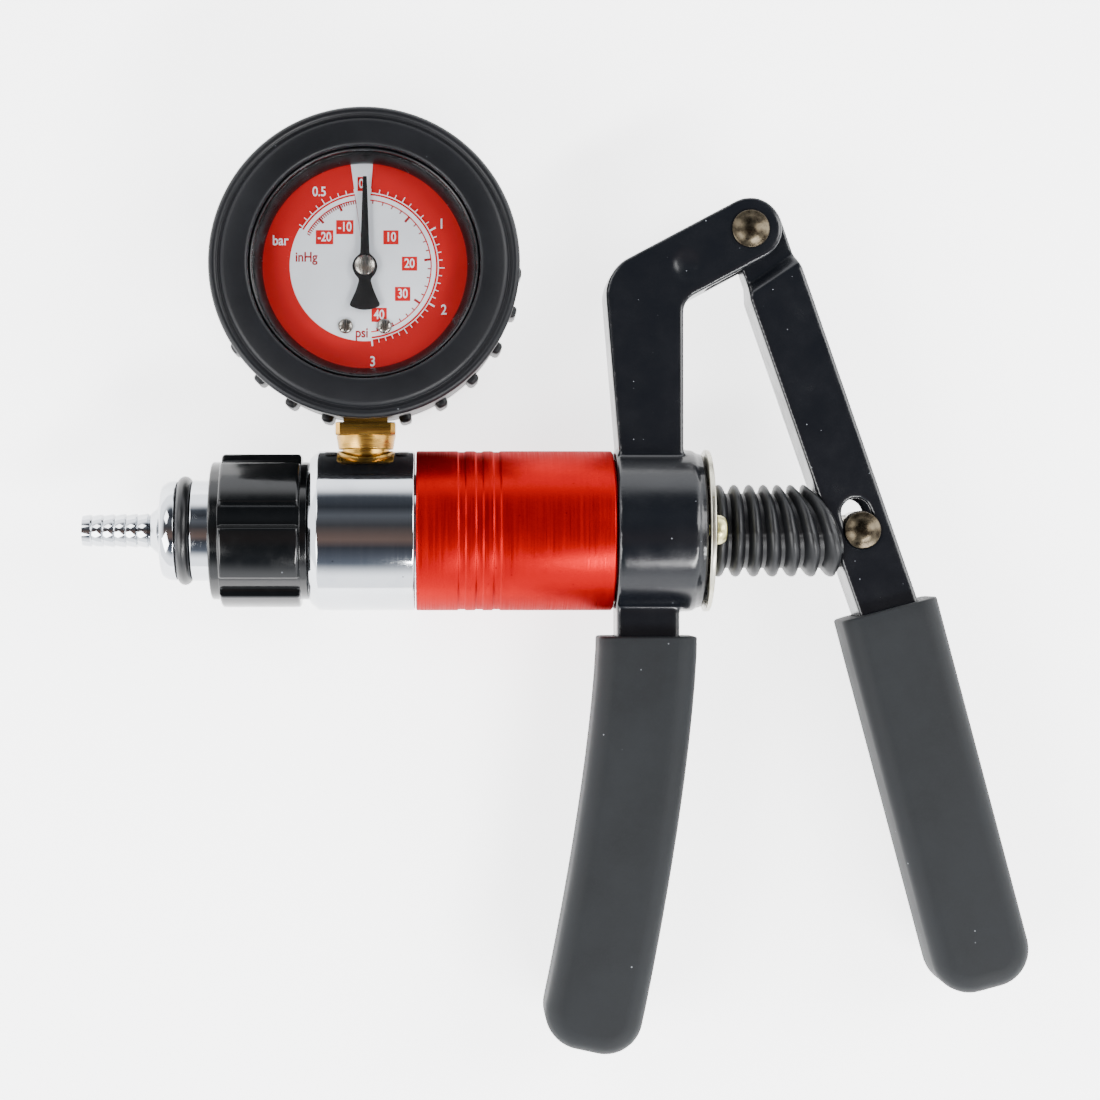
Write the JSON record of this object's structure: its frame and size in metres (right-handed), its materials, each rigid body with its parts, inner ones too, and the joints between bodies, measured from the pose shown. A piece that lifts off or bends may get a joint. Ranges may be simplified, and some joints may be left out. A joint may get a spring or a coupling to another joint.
{
  "type": "hand vacuum pump",
  "caption": "Hand-squeezed pump: barrel with piston, spring-back lever, rubber grips, ribbed bellows, lobed coupling collar, barbed hose nozzle and a booted dial gauge.",
  "frame": {"origin": "centre of the bounding box's footprint, on the table that the pump lies on", "axes": "+X along the barrel towards the lever, +Y from the grips up to the gauge, +Z out of the gauge's dial"},
  "size_m": [0.2364, 0.2348, 0.0406],
  "materials": {
    "black_paint": "gloss stove enamel on cast and pressed steel",
    "grip_rubber": "matte, fine grain",
    "boot_rubber": "satin moulded",
    "bellows_rubber": "satin moulded",
    "seal_rubber": "smooth nitrile",
    "red_anodise": "red anodised, turned",
    "chrome": "polished plating",
    "nickel": "satin nickel plate",
    "brass": "turned and milled",
    "rivet_steel": "dark oiled steel",
    "zinc_plate": "yellow zinc plate",
    "steel": "bright turned",
    "black_moulding": "gloss",
    "dial_print": "printed, satin",
    "clear_lens": "clear"
  },
  "bodies": {
    "pump_body": {"cast_frame": "black_paint", "fixed_grip": "grip_rubber", "barrel": "red_anodise", "head": "chrome", "head_seal": "seal_rubber", "hose_nozzle": "chrome", "nozzle_seal": "seal_rubber", "valve_seat": "brass", "valve_flap": "seal_rubber", "end_cap": "nickel", "cap_screw_front": "zinc_plate", "cap_screw_back": "zinc_plate", "rod_bush": "brass", "gauge_stem": "brass", "gauge_boot": "boot_rubber", "gauge_case": "black_paint", "gauge_bezel": "black_moulding", "gauge_lens": "clear_lens", "gauge_dial": "dial_print", "dial_screw_left": "steel", "dial_screw_right": "steel", "movement_frame": "brass", "bourdon_tube": "brass", "pivot_rivet": "rivet_steel"},
    "collar": {"coupling_collar": "black_moulding"},
    "lever": {"lever": "black_paint", "lever_grip": "grip_rubber"},
    "rod": {"piston_rod": "steel", "rod_pin": "rivet_steel", "piston": "nickel", "piston_seal": "seal_rubber", "piston_washer": "steel", "piston_nut": "steel", "return_spring": "steel", "bellows": "bellows_rubber"},
    "pointer": {"pointer_spindle": "brass", "gauge_pointer": "black_paint", "pointer_cap": "steel"},
    "sector": {"sector_gear": "brass"}
  },
  "joints": [
    {"name": "lever_squeeze", "type": "hinge", "parent": "pump_body", "child": "lever", "pos_m": [0.0484, 0.08791, 0.0203], "axis": [0, 0, 1], "range_deg": [-12, 0], "stiffness_Nm_per_rad": 1.5, "springref_deg": 17.19},
    {"name": "rod_slide", "type": "slide", "parent": "pump_body", "child": "rod", "axis": [1, 0, 0], "range_m": [-0.0168, 0], "deforming": ["return_spring", "bellows"]},
    {"name": "collar_spin", "type": "hinge", "parent": "pump_body", "child": "collar", "pos_m": [-0.07365, 0.01291, 0.0203], "axis": [1, 0, 0], "continuous": true},
    {"name": "pointer_swing", "type": "hinge", "parent": "pump_body", "child": "pointer", "pos_m": [-0.0474, 0.07821, 0.0203], "axis": [0, 0, 1], "range_deg": [-171, 54], "stiffness_Nm_per_rad": 0.0005},
    {"name": "sector_swing", "type": "hinge", "parent": "pump_body", "child": "sector", "pos_m": [-0.0474, 0.06661, 0.0203], "axis": [0, 0, 1], "range_deg": [-13.5, 41.8]}
  ],
  "couplings": [
    {"joint": "rod_slide", "follows": "lever_squeeze", "m_per_rad": 0.07984},
    {"joint": "sector_swing", "follows": "pointer_swing", "ratio": -0.24176}
  ]
}
